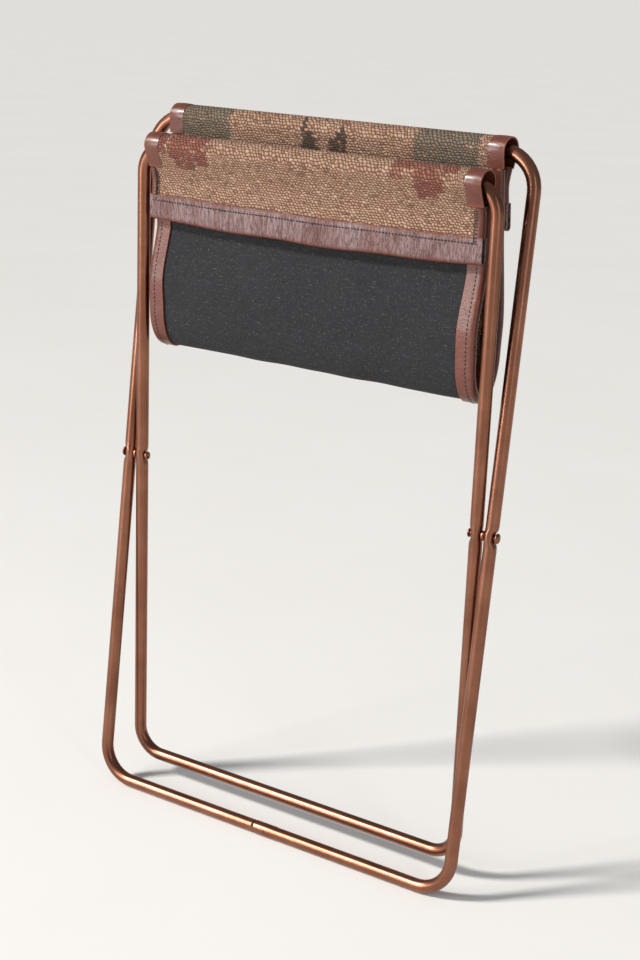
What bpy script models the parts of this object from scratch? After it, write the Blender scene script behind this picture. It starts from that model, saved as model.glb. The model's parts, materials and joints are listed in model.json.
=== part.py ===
"""Folding magazine rack: two bent tube loops crossed on side rivets, with a cloth sling between them.

The rack is folded nearly flat and leans back, standing on the bottom bar of its outer loop.
Axes: +X to the right, +Y to the back, +Z up. Every size is in metres.
"""
import math

import bmesh
import bpy
from mathutils import Matrix, Vector

MM = 0.001

# ---------------------------------------------------------------- driving dimensions: tube frames
TUBE_R = 5.5 * MM              # outer radius of the steel tube
TUBE_WALL = 0.8 * MM
OUTER_HALF_WIDTH = 183.0 * MM  # centre plane to the centre line of an outer leg
OUTER_UP = 298.8 * MM          # pivot to the centre line of the outer loop's top bar
OUTER_DOWN = 305.4 * MM        # pivot to the centre line of the outer loop's bottom bar
OUTER_BEND_R = 30.0 * MM
INNER_UP = 274.9 * MM
INNER_DOWN = 288.0 * MM
INNER_BEND_R = 24.0 * MM
LEAN = math.radians(5.7)       # outer loop from the vertical, top to the back
FOLD = math.radians(6.55)      # inner loop from the outer loop, top to the front

# ---------------------------------------------------------------- driving dimensions: pivots and joints
FIT = 0.3 * MM                 # gap between pieces that touch or slide
SEAT_R = 4.95 * MM             # radius of the pressed seat round each pivot hole
SEAT_LENGTH = 9.0 * MM         # half length of the pressed seat, along the leg
SEAT_FLAT = 4.0 * MM           # half length of its narrowest stretch
RIVET_R = 2.0 * MM
RIVET_HEAD_R = 3.7 * MM
RIVET_HEAD_H = 2.0 * MM
HEAD_RIM = 0.2                 # share of a head's height that is its straight rim
RIVET_TAIL_R = 3.3 * MM
RIVET_TAIL_H = 1.5 * MM
TAIL_BEVEL = 0.9 * MM
RIVET_BORE_R = 1.2 * MM        # hollow end that is rolled over on the inside
RIVET_BORE_DEPTH = 3.0 * MM
SPACER_R = 4.0 * MM
SPACER_T = 3.0 * MM
SOCKET_LENGTH = 20.0 * MM      # slip joint in the middle of the outer loop's bottom bar
SWAGE_TAPER = 2.5 * MM         # length over which the end that goes inside is drawn down
PIN_R = 1.2 * MM               # pin through both ends at the slip joint
PIN_HEAD_R = 2.0 * MM
PIN_HEAD_H = 0.8 * MM
PIN_DEPTH = 3.4 * MM
SPIGOT_LENGTH = 40.0 * MM      # plug inside the inner loop's top bar, where its ends meet

# ---------------------------------------------------------------- driving dimensions: sling
KILIM_T = 2.6 * MM
CANVAS_T = 1.2 * MM
LEATHER_T = 1.3 * MM
LEG_GAP = 4.1 * MM             # between the sling's leather edges and the legs of the inner loop
BINDING_WIDTH = 15.9 * MM      # leather along each side edge of the panel
FLAP_EDGE_WIDTH = 6.3 * MM     # leather along each side edge of the flap
CAP_WIDTH = 13.9 * MM          # leather tab round the bar, at each end of a sleeve
SLACK_SIDE = 2.3 * MM          # room between tube and sleeve, front and back
SLACK_TOP = 0.9 * MM
CAP_HANG = 9.5 * MM            # how far a tab hangs below the underside of the bar
SLEEVE_TAIL = 12.2 * MM        # from the tube's underside at the sling's edge to where the sleeve closes
FLAP_DROP = 63.0 * MM
HEM_HEIGHT = 21.5 * MM
BELOW_HEM = 8.0 * MM           # the panel stays flat this far below the hem
SLING_DROP = 172.4 * MM        # bottom of the sling below the inner loop's top bar
SLING_CENTRE_Y = 16.0 * MM     # bottom of the sling behind the pivots
APEX_GAP = 1.0 * MM
LEVEL_END = 1.0 * MM           # level stretch of each half at the sling's bottom
APEX_AXIS_BELOW = 12.5 * MM    # the sling's own fold line lies this far under its bottom
APEX_AXIS_FORWARD = 13.0 * MM
FRONT_STACK = (-3.9 * MM, -4.4 * MM)   # flap and panel out from the bar, at the top and at the hem
BACK_STACK = (-3.5 * MM, 1.5 * MM)
FRONT_BULGE = 1.2 * MM                 # panel out from the bar where it is fullest
BACK_BULGE = 8.4 * MM
FRONT_BELLY = (60.0 * MM, 34.0 * MM)   # above the sling's bottom: panel fullest, bottom curve starts
BACK_BELLY = (66.0 * MM, 37.0 * MM)
TURN_IN = 0.9 * MM                     # how far the panel has come in again where that curve starts

TUBE_SIDES = 12
ROUND_STEPS = 16
ARC_STEPS = 6
DOME_STEPS = 4
LOOP_STEPS = 8       # of the sleeve, over the bar
TURN_STEPS = 5       # of the curve to the sling's bottom
SMOOTH_STEPS = 2     # between two points of the sling's path
CREASE = math.radians(40)
SAME_POINT = 0.01 * MM
# The outer tube's flats are turned so that one of them faces straight down.
FLAT_TURN = math.pi / TUBE_SIDES - LEAN

# ---------------------------------------------------------------- sizes that follow
INNER_HALF_WIDTH = OUTER_HALF_WIDTH - 2 * SEAT_R - SPACER_T - 2 * FIT
CAP_REACH = TUBE_R + CAP_HANG          # from the bar's centre line down
LEATHER_EDGE = INNER_HALF_WIDTH - TUBE_R - LEG_GAP     # centre plane to the outside of the side leather
CLOTH_HALF_WIDTH = LEATHER_EDGE - LEATHER_T - FIT
HEM_TOP = FLAP_DROP - HEM_HEIGHT       # below the bar
# The sleeve's ends run on to the loop's bends, where the tube dips away from the bar.
BEND_INSIDE = INNER_BEND_R - TUBE_R
UNDERSIDE = INNER_BEND_R - math.sqrt(BEND_INSIDE ** 2 - (BEND_INSIDE - LEG_GAP) ** 2)
STACK_START = UNDERSIDE + SLEEVE_TAIL
SLEEVE_HALF = TUBE_R + SLACK_SIDE + CANVAS_T + FIT + KILIM_T
HOLE_R = RIVET_R + FIT
SWAGED_R = (TUBE_R - TUBE_WALL) * math.cos(math.pi / TUBE_SIDES) - FIT
TUBE_FLAT = TUBE_R * math.cos(math.pi / TUBE_SIDES)   # centre line to a flat of the tube
CAP_INNER_X = LEATHER_EDGE - CAP_WIDTH
CANVAS_OUT = FIT / 2 + CANVAS_T        # offsets from the seam between kilim and canvas
KILIM_OUT = FIT / 2 + KILIM_T
PINCH = (2 * LEATHER_T + 3 * FIT) / 2 + CANVAS_OUT   # seam of flap or panel from the stack's middle

PIN_OUT = TUBE_R + FIT + PIN_HEAD_H
# The origin is midway between the pin's head at the front and the back sleeve, on the floor.
PIVOT_Y = ((OUTER_DOWN - OUTER_UP) * math.sin(LEAN) + PIN_OUT * math.cos(LEAN) - SLEEVE_HALF) / 2
PIVOT = Vector((0.0, PIVOT_Y, OUTER_DOWN * math.cos(LEAN) + TUBE_FLAT))
INNER_LEAN = FOLD - LEAN
OUTER_BAR = PIVOT + Vector((0.0, OUTER_UP * math.sin(LEAN), OUTER_UP * math.cos(LEAN)))
INNER_BAR = PIVOT + Vector((0.0, -INNER_UP * math.sin(INNER_LEAN), INNER_UP * math.cos(INNER_LEAN)))
APEX = Vector((0.0, PIVOT_Y + SLING_CENTRE_Y, INNER_BAR.z - SLING_DROP))
APEX_AXIS = APEX - Vector((0.0, APEX_AXIS_FORWARD, APEX_AXIS_BELOW))

# ---------------------------------------------------------------- finishes: colour, roughness, metallic
FINISHES = {
    "copper": ((0.42, 0.17, 0.085, 1.0), 0.32, 1.0),
    "rivet": ((0.36, 0.15, 0.08, 1.0), 0.38, 1.0),
    "kilim": ((0.36, 0.22, 0.13, 1.0), 0.95, 0.0),
    "canvas": ((0.035, 0.035, 0.04, 1.0), 0.9, 0.0),
    "leather": ((0.11, 0.035, 0.022, 1.0), 0.4, 0.0),
}


def clear_scene():
    for obj in list(bpy.data.objects):
        bpy.data.objects.remove(obj, do_unlink=True)


def new_collection(name):
    collection = bpy.data.collections.new(name)
    bpy.context.scene.collection.children.link(collection)
    return collection


def material(name, finish):
    colour, roughness, metallic = FINISHES[finish]
    mat = bpy.data.materials.new(name)
    mat.use_nodes = True
    shader = mat.node_tree.nodes["Principled BSDF"]
    shader.inputs["Base Color"].default_value = colour
    shader.inputs["Roughness"].default_value = roughness
    shader.inputs["Metallic"].default_value = metallic
    return mat


def new_axis(name, place, turn=0.0):
    """An empty whose X axis is a joint's axis."""
    axis = bpy.data.objects.new(name, None)
    axis.empty_display_size = 0.03
    axis.location = place
    axis.rotation_euler = (turn, 0.0, 0.0)
    PARTS.objects.link(axis)
    return axis


def add_part(name, mesh, parent, finish, smooth=False):
    obj = bpy.data.objects.new(name, mesh)
    PARTS.objects.link(obj)
    obj.parent = parent
    mesh.materials.clear()
    mesh.materials.append(material(name, finish))
    if smooth:
        mesh.shade_smooth()
        mesh.set_sharp_from_angle(angle=CREASE)
    return obj


def cut(obj, cutter):
    boolean = obj.modifiers.new("cut_" + cutter.name, "BOOLEAN")
    boolean.operation = "DIFFERENCE"
    boolean.solver = "EXACT"
    boolean.object = cutter


def add_cutter(name, mesh, parent):
    obj = bpy.data.objects.new(name, mesh)
    CUTTERS.objects.link(obj)
    obj.parent = parent
    obj.hide_render = True
    obj.display_type = "WIRE"
    return obj


def mesh_of_curve(curve):
    """The curve's surface as one welded mesh."""
    holder = bpy.data.objects.new("curve_holder", curve)
    PARTS.objects.link(holder)
    bpy.context.view_layer.update()
    depsgraph = bpy.context.evaluated_depsgraph_get()
    mesh = bpy.data.meshes.new_from_object(holder.evaluated_get(depsgraph))
    bpy.data.objects.remove(holder, do_unlink=True)
    bm = bmesh.new()
    bm.from_mesh(mesh)
    bmesh.ops.remove_doubles(bm, verts=bm.verts, dist=0.00001)
    bmesh.ops.recalc_face_normals(bm, faces=bm.faces)
    bm.to_mesh(mesh)
    bm.free()
    return mesh


def cylinder_mesh(radius, length, centre, axis, sides=ROUND_STEPS):
    """A closed cylinder about the given direction."""
    bm = bmesh.new()
    place = Matrix.Translation(centre) @ Vector((0, 0, 1)).rotation_difference(axis).to_matrix().to_4x4()
    bmesh.ops.create_cone(bm, cap_ends=True, segments=sides, radius1=radius, radius2=radius,
                          depth=length, matrix=place)
    mesh = bpy.data.meshes.new("cylinder")
    bm.to_mesh(mesh)
    bm.free()
    return mesh


def box_mesh(low, high):
    bm = bmesh.new()
    size = high - low
    bmesh.ops.create_cube(bm, size=1.0, matrix=Matrix.Translation((low + high) / 2)
                          @ Matrix.Diagonal((size.x, size.y, size.z, 1.0)))
    mesh = bpy.data.meshes.new("box")
    bm.to_mesh(mesh)
    bm.free()
    return mesh


# ---------------------------------------------------------------- tube loops
def bend(centre, radius, start, end):
    """Points of a bend in the loop's X-Z plane; angles from +X towards +Z."""
    x, z = centre
    points = []
    for step in range(ARC_STEPS + 1):
        angle = start + (end - start) * step / ARC_STEPS
        points.append(Vector((x + radius * math.cos(angle), 0.0, z + radius * math.sin(angle))))
    return points


def seat(x, rising):
    """Stations of the pressed seat on a leg, as point and tube radius."""
    heights = ((SEAT_LENGTH, TUBE_R), (SEAT_FLAT, SEAT_R))
    stations = [(-height, radius) for height, radius in heights]
    stations += [(height, radius) for height, radius in reversed(heights)]
    if not rising:
        stations = [(-height, radius) for height, radius in stations]
    return [(Vector((x, 0.0, height)), radius) for height, radius in stations]


def side_run(half, low, high, radius, left):
    """Stations of one leg with its two bends: the left one rises, the right one comes down."""
    half_turn = math.pi / 2
    x = half - radius
    if left:
        first = bend((-x, low + radius), radius, -half_turn, -2 * half_turn)
        last = bend((-x, high - radius), radius, 2 * half_turn, half_turn)
        middle = seat(-half, True)
    else:
        first = bend((x, high - radius), radius, half_turn, 0.0)
        last = bend((x, low + radius), radius, 0.0, -half_turn)
        middle = seat(half, False)
    return [(point, TUBE_R) for point in first] + middle + [(point, TUBE_R) for point in last]


def tube_mesh(stations, turn):
    """The outside of a tube through the stations, open at both ends."""
    curve = bpy.data.curves.new("tube", "CURVE")
    curve.dimensions = "3D"
    curve.bevel_depth = TUBE_R
    curve.bevel_resolution = TUBE_SIDES // 2 - 2
    curve.use_fill_caps = False
    spline = curve.splines.new("POLY")
    spline.points.add(len(stations) - 1)
    for point, (place, radius) in zip(spline.points, stations):
        point.co = (place.x, place.y, place.z, 1.0)
        point.radius = radius / TUBE_R
        point.tilt = turn
    return mesh_of_curve(curve)


def add_tube(name, stations, parent, half_width, turn=0.0):
    tube = add_part(name, tube_mesh(stations, turn), parent, "copper", smooth=True)
    wall = tube.modifiers.new("wall", "SOLIDIFY")
    wall.thickness = TUBE_WALL
    wall.offset = -1.0
    for side, label in ((-1, "left"), (1, "right")):
        hole = cylinder_mesh(HOLE_R, 4 * TUBE_R, Vector((side * half_width, 0, 0)), Vector((1, 0, 0)))
        cut(tube, add_cutter(f"{name}_pivot_hole_{label}", hole, parent))
    return tube


def outer_stations():
    """The outer loop runs from its drawn-down end, round, to the plain end that slips over it."""
    low, high = -OUTER_DOWN, OUTER_UP
    mouth = -SOCKET_LENGTH / 2
    swage_start = mouth - FIT
    stations = [(Vector((-mouth, 0, low)), SWAGED_R), (Vector((swage_start, 0, low)), SWAGED_R)]
    stations.append((Vector((swage_start - SWAGE_TAPER, 0, low)), TUBE_R))
    stations += side_run(OUTER_HALF_WIDTH, low, high, OUTER_BEND_R, left=True)
    stations += side_run(OUTER_HALF_WIDTH, low, high, OUTER_BEND_R, left=False)
    stations.append((Vector((mouth, 0, low)), TUBE_R))
    return stations


def inner_stations():
    """The inner loop's two ends meet in the middle of its top bar, inside the front sleeve."""
    low, high = -INNER_DOWN, INNER_UP
    ends = [(Vector((side * FIT / 2, 0, high)), TUBE_R) for side in (1, -1)]
    right = side_run(INNER_HALF_WIDTH, low, high, INNER_BEND_R, left=False)
    left = side_run(INNER_HALF_WIDTH, low, high, INNER_BEND_R, left=True)
    return ends[:1] + right + left + ends[1:]


# ---------------------------------------------------------------- turned pieces
def turned(name, profile, parent, place, axis, finish):
    """A profile in X-Z, run down its outer side, turned about Z; Z then lies along the axis."""
    mesh = bpy.data.meshes.new(name)
    mesh.from_pydata([(x, 0.0, z) for x, z in profile], [(i, i + 1) for i in range(len(profile) - 1)], [])
    obj = add_part(name, mesh, parent, finish)
    obj.location = place
    obj.rotation_mode = "QUATERNION"
    obj.rotation_quaternion = Vector((0, 0, 1)).rotation_difference(axis)
    screw = obj.modifiers.new("turn", "SCREW")
    screw.steps = ROUND_STEPS
    screw.render_steps = ROUND_STEPS
    screw.use_merge_vertices = True
    screw.merge_threshold = 0.00001
    screw.use_smooth_shade = True
    return obj


def dome(radius, height, base):
    """Profile of a domed head, from its top to its rim."""
    rim = HEAD_RIM * height
    points = []
    for step in range(DOME_STEPS + 1):
        angle = math.pi / 2 * step / DOME_STEPS
        points.append((radius * math.sin(angle), base + rim + (height - rim) * math.cos(angle)))
    return points + [(radius, base)]


def add_pivot(side, label):
    """Rivet, and the spacer ring that it passes through between the two legs."""
    outward = Vector((side, 0, 0))
    crest = Vector((side * (OUTER_HALF_WIDTH + SEAT_R), 0, 0))
    grip = OUTER_HALF_WIDTH - INNER_HALF_WIDTH + 2 * SEAT_R + FIT
    tail = -grip - RIVET_TAIL_H
    profile = dome(RIVET_HEAD_R, RIVET_HEAD_H, FIT)
    bore = tail + RIVET_BORE_DEPTH
    profile += [(RIVET_R, FIT), (RIVET_R, -grip), (RIVET_TAIL_R, -grip), (RIVET_TAIL_R, tail + TAIL_BEVEL),
                (RIVET_TAIL_R - TAIL_BEVEL, tail), (RIVET_BORE_R, tail), (RIVET_BORE_R, bore), (0.0, bore)]
    turned(f"pivot_rivet_{label}", profile, OUTER_AXIS, crest, outward, "rivet")
    middle = Vector((side * (OUTER_HALF_WIDTH - SEAT_R - FIT - SPACER_T / 2), 0, 0))
    half = SPACER_T / 2
    ring = [(HOLE_R, half), (SPACER_R, half), (SPACER_R, -half), (HOLE_R, -half), (HOLE_R, half)]
    turned(f"pivot_spacer_{label}", ring, OUTER_AXIS, middle, outward, "rivet")


def add_socket_pin(tube):
    """Blind pin from the front of the bottom bar, through the plain end and the end inside it."""
    front = Vector((0, -1, 0))
    crest = Vector((0, -TUBE_R, -OUTER_DOWN))
    profile = dome(PIN_HEAD_R, PIN_HEAD_H, FIT) + [(PIN_R, FIT), (PIN_R, -PIN_DEPTH), (0.0, -PIN_DEPTH)]
    turned("socket_pin", profile, OUTER_AXIS, crest, front, "rivet")
    hole = cylinder_mesh(PIN_R + FIT, 2 * PIN_DEPTH, crest, front)
    cut(tube, add_cutter("socket_pin_hole", hole, OUTER_AXIS))


# ---------------------------------------------------------------- sling
def smooth(points, steps):
    """Smooth curve through the points, however unevenly they are spaced."""
    ends = [2 * points[0] - points[1]] + points + [2 * points[-1] - points[-2]]
    curve = []
    for a, b, c, d in zip(ends, ends[1:], ends[2:], ends[3:]):
        length = (c - b).length
        leaving = (c - a) * length / (length + (b - a).length)
        arriving = (d - b) * length / (length + (d - c).length)
        for step in range(steps):
            t = step / steps
            near = t * t * (3 - 2 * t)
            curve.append(b + (c - b) * near + leaving * t * (1 - t) ** 2 - arriving * t * t * (1 - t))
    return curve + [points[-1]]


def offset(path, distance):
    """The path moved to its right."""
    moved = []
    for i, point in enumerate(path):
        along = (path[min(i + 1, len(path) - 1)] - path[max(i - 1, 0)]).normalized()
        moved.append(point + distance * Vector((along.y, -along.x)))
    return moved


def clip(path, level, above):
    """The stretch of a path above or below a level, with its ends on the level."""
    kept = []
    for a, b in zip(path, path[1:]):
        inside_a, inside_b = [(point.y > level) == above for point in (a, b)]
        if inside_a and not kept:
            kept.append(a)
        if inside_a != inside_b:
            kept.append(a + (b - a) * ((level - a.y) / (b.y - a.y)))
        if inside_b:
            kept.append(b)
    apart = [b for a, b in zip(kept, kept[1:]) if (b - a).length > SAME_POINT]
    return kept[:1] + apart


class Half:
    """One half of the sling, from its flap over the bar and down the panel to the bottom.

    Points are (out, up) from the bar's centre line, where out is away from the pocket.
    """

    def __init__(self, name, axis, bar, out, stack, bulge, belly):
        self.name = name
        self.axis = axis
        self.out = out
        self.shift = Vector((bar.y - axis.location.y, bar.z - axis.location.z))
        apex = Vector((out * (APEX.y - bar.y) + APEX_GAP / 2, APEX.z - bar.z + CANVAS_OUT))
        bulge_up, turn_up = belly
        side = TUBE_R + SLACK_SIDE + CANVAS_OUT
        top = TUBE_R + SLACK_TOP + CANVAS_OUT
        high, low = stack
        lean = (low - high) / (FLAP_DROP - STACK_START)
        depths = [STACK_START, (STACK_START + HEM_TOP) / 2, HEM_TOP, FLAP_DROP, FLAP_DROP + BELOW_HEM]
        line = [Vector((high + lean * (depth - STACK_START), -depth)) for depth in depths]
        apart = Vector((PINCH, 0.0))
        flap = [point + apart for point in reversed(line[:-1])]
        over = [math.pi * i / LOOP_STEPS for i in range(LOOP_STEPS + 1)]
        loop = [Vector((side * math.cos(angle), top * math.sin(angle))) for angle in over]
        panel = [point - apart for point in line] + [Vector((bulge, apex.y + bulge_up))]
        width = bulge - TURN_IN - apex.x - LEVEL_END
        quarter = [math.pi / 2 * i / TURN_STEPS for i in range(TURN_STEPS + 1)]
        turn = [Vector((apex.x + LEVEL_END + width * math.cos(angle),
                        apex.y + turn_up * (1 - math.sin(angle)))) for angle in quarter]
        whole = smooth(flap + loop + panel + turn, SMOOTH_STEPS) + [apex]
        self.path = whole
        self.loop = clip(whole[:len(flap + loop + panel) * SMOOTH_STEPS], -CAP_REACH + 2 * FIT, above=True)
        crown = whole.index(max(whole, key=lambda point: point.y))
        self.panel = clip(whole[crown:], -CAP_REACH - FIT, above=False)
        self.flap_run = clip(whole[:crown], -CAP_REACH - FIT, above=False)

    def band(self, path, inside, outside, x_low, x_high):
        """A strip of the path between two offsets, from one X to another."""
        outline = offset(path, inside) + list(reversed(offset(path, outside)))
        curve = bpy.data.curves.new("band", "CURVE")
        curve.dimensions = "2D"
        curve.fill_mode = "BOTH"
        curve.extrude = (x_high - x_low) / 2
        spline = curve.splines.new("POLY")
        spline.points.add(len(outline) - 1)
        spline.use_cyclic_u = True
        for point, place in zip(spline.points, outline):
            point.co = (self.shift.x + self.out * place.x, self.shift.y + place.y, 0.0, 1.0)
        mesh = mesh_of_curve(curve)
        lay = Matrix(((0, 0, 1, (x_low + x_high) / 2), (1, 0, 0, 0), (0, 1, 0, 0), (0, 0, 0, 1)))
        mesh.transform(lay)
        return mesh

    def add(self, piece, mesh, finish):
        return add_part(f"{self.name}_{piece}", mesh, self.axis, finish)

    def cutter(self, piece, mesh):
        return add_cutter(f"{self.name}_{piece}", mesh, self.axis)

    def add_cloth(self):
        half = CLOTH_HALF_WIDTH
        layers = (("kilim", FIT / 2, KILIM_OUT), ("canvas", -CANVAS_OUT, -FIT / 2))
        reach = 2 * SLEEVE_HALF
        centre = Vector((0, self.shift.x, self.shift.y))
        for layer, inside, outside in layers:
            cloth = self.add(layer, self.band(self.path, inside, outside, -half, half), layer)
            for side, label in ((-1, "left"), (1, "right")):
                near = side * (CAP_INNER_X - FIT)
                far = side * (half + reach)
                low = centre + Vector((min(near, far), -reach, -CAP_REACH))
                high = centre + Vector((max(near, far), reach, reach))
                cut(cloth, self.cutter(f"{layer}_notch_{label}", box_mesh(low, high)))

    def add_channel(self, piece, path, slot_path, x_low, x_high, slot_low, slot_high):
        """Leather folded over an edge of the cloth: a thick band less the slot that the cloth fills."""
        inside, outside = -(CANVAS_OUT + FIT), KILIM_OUT + FIT
        channel = self.band(path, inside - LEATHER_T, outside + LEATHER_T, x_low, x_high)
        slot = self.band(slot_path, inside, outside, slot_low, slot_high)
        cut(self.add(piece, channel, "leather"), self.cutter(f"{piece}_slot", slot))

    def add_leather(self):
        cloth_x = CLOTH_HALF_WIDTH + FIT
        before = 2 * self.panel[0] - self.panel[1]
        after = 2 * self.panel[-1] - self.panel[-2]
        slot_path = [before] + self.panel[1:-1] + [after]
        edge_run = clip(self.flap_run, -HEM_TOP + FIT, above=True)
        on_kilim = KILIM_OUT + FIT
        for side, label in ((-1, "left"), (1, "right")):
            wrap = sorted((side * (LEATHER_EDGE - BINDING_WIDTH), side * LEATHER_EDGE))
            edge = sorted((side * cloth_x / 2, side * cloth_x))
            self.add_channel(f"binding_{label}", self.panel, slot_path, *wrap, *edge)
            cap = sorted((side * CAP_INNER_X, side * LEATHER_EDGE))
            self.add(f"cap_{label}", self.band(self.loop, -LEATHER_T / 2, LEATHER_T / 2, *cap), "leather")
            strip = sorted((side * (CLOTH_HALF_WIDTH - FLAP_EDGE_WIDTH), side * CLOTH_HALF_WIDTH))
            strip_mesh = self.band(edge_run, on_kilim, on_kilim + LEATHER_T, *strip)
            self.add(f"flap_edge_{label}", strip_mesh, "leather")
        down = (self.flap_run[0] - self.flap_run[1]).normalized()
        hem = clip(self.flap_run, -HEM_TOP, above=False)
        above_hem = hem[-1] - down * HEM_HEIGHT
        outer_hem = [hem[0] + down * (FIT + LEATHER_T)] + hem[1:]
        slot = [hem[0] + down * FIT] + hem[1:] + [above_hem]
        past = 2 * LEATHER_EDGE
        self.add_channel("hem", outer_hem, slot, -LEATHER_EDGE, LEATHER_EDGE, -past, past)


# ---------------------------------------------------------------- the rack
clear_scene()
PARTS = new_collection("magazine_rack")
CUTTERS = new_collection("cutters")
OUTER_AXIS = new_axis("outer_loop_axis", PIVOT, -LEAN)
INNER_AXIS = new_axis("fold_axis", PIVOT, INNER_LEAN)
BACK_AXIS = new_axis("sling_back_axis", OUTER_BAR)
FRONT_AXIS = new_axis("sling_front_axis", APEX_AXIS)

outer_tube = add_tube("outer_tube", outer_stations(), OUTER_AXIS, OUTER_HALF_WIDTH, FLAT_TURN)
add_socket_pin(outer_tube)
add_tube("inner_tube", inner_stations(), INNER_AXIS, INNER_HALF_WIDTH)
add_part("inner_spigot", cylinder_mesh(SWAGED_R, SPIGOT_LENGTH, Vector((0, 0, INNER_UP)), Vector((1, 0, 0))),
         INNER_AXIS, "rivet", smooth=True)
for pivot_side, pivot_label in ((-1, "left"), (1, "right")):
    add_pivot(pivot_side, pivot_label)

for half_sling in (Half("front", FRONT_AXIS, INNER_BAR, -1, FRONT_STACK, FRONT_BULGE, FRONT_BELLY),
                   Half("back", BACK_AXIS, OUTER_BAR, 1, BACK_STACK, BACK_BULGE, BACK_BELLY)):
    half_sling.add_cloth()
    half_sling.add_leather()
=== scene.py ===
"""Folding magazine rack: copper tube loops, a kilim and canvas sling, leather edging and stitching.

Metres, +Z up, +X to the right, +Y to the back. The sling is laid along one path, drawn in the Y-Z plane
from the front flap, over the front bar, down into the pocket, up again, over the back bar and down.
"""
import json
import math

import bpy
import numpy as np
from mathutils import Matrix, Vector


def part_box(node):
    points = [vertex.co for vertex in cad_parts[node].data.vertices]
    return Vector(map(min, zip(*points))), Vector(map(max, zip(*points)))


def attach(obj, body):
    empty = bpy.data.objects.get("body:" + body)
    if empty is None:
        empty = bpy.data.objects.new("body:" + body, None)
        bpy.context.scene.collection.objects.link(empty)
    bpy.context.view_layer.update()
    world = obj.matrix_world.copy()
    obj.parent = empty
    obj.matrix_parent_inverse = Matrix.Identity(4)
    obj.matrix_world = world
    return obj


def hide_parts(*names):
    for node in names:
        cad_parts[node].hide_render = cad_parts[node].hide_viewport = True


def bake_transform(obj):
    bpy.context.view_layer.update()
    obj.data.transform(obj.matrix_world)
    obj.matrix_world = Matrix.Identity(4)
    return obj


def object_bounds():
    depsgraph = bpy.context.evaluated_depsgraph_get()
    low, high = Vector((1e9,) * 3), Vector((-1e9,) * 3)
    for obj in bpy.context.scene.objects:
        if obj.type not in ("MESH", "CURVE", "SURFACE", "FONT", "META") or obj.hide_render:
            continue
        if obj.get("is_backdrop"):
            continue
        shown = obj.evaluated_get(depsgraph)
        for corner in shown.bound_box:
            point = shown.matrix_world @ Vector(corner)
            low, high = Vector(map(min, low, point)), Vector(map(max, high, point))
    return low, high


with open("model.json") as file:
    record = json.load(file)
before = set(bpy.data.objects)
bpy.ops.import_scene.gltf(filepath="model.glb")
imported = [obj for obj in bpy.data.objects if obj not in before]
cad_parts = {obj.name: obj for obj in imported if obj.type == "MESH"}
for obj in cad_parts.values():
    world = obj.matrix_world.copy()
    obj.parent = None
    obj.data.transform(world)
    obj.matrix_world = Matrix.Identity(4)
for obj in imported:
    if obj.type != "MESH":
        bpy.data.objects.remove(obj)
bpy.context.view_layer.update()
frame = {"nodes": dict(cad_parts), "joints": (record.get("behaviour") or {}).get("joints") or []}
MM = 0.001

# ---------------------------------------------------------------- places that the frame gives
JOINTS = {joint["name"]: Vector(joint["pos_m"]) for joint in frame["joints"]}
PIVOT = JOINTS["fold"]
BACK_BAR = JOINTS["back_sleeve_turn"]
SLING_AXIS = JOINTS["sling_fold"]
INNER_LOW, INNER_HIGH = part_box("inner_tube")
OUTER_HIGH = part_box("outer_tube")[1]
BINDING_LOW, BINDING_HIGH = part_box("front_binding_right")
EDGE_LOW, EDGE_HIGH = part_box("front_flap_edge_right")
CLOTH_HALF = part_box("front_kilim")[1].x
CAP_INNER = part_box("front_cap_right")[0].x

# ---------------------------------------------------------------- tubes
TUBE_R = 5.5 * MM
TUBE_WALL = 0.8 * MM
FRAME_REACH = 5.4 * MM     # the frame's outer tube from its middle line to its side
FLOOR_REACH = 5.3 * MM     # and to the floor, both to fit the round tube drawn here
OUTER_BEND_R = 30.0 * MM
INNER_BEND_R = 24.0 * MM
SIDES = 32
BEND_STEPS = 10
SIDES_OF_RACK = ((-1, "left"), (1, "right"))
FRONT_BAR = Vector((0.0, INNER_LOW.y + TUBE_R, INNER_HIGH.z - TUBE_R))
OUTER_HALF = OUTER_HIGH.x - FRAME_REACH
INNER_HALF = INNER_HIGH.x - TUBE_R
LEAN = math.atan2(BACK_BAR.y - PIVOT.y, BACK_BAR.z - PIVOT.z)
INNER_LEAN = math.atan2(FRONT_BAR.y - PIVOT.y, FRONT_BAR.z - PIVOT.z)
OUTER_UP = (BACK_BAR - PIVOT).length
OUTER_DOWN = (PIVOT.z - FLOOR_REACH) / math.cos(LEAN)
INNER_UP = math.hypot(FRONT_BAR.y - PIVOT.y, FRONT_BAR.z - PIVOT.z)
INNER_DOWN = (PIVOT.z - INNER_LOW.z - TUBE_R) / math.cos(INNER_LEAN)
SEAT_HALF = 9.5 * MM   # the pressed seat at a pivot: half its length,
SEAT_FLAT = 0.80       # its thickness and its breadth against the round tube
SEAT_BROAD = 1.10
JOINT_HALF = 10.0 * MM     # the slip joint in the bottom bar, from its middle to either end
DRAWN_R = 4.3 * MM         # its drawn-down end
HEAD_R, HEAD_HEIGHT = 4.3 * MM, 2.3 * MM

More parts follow.
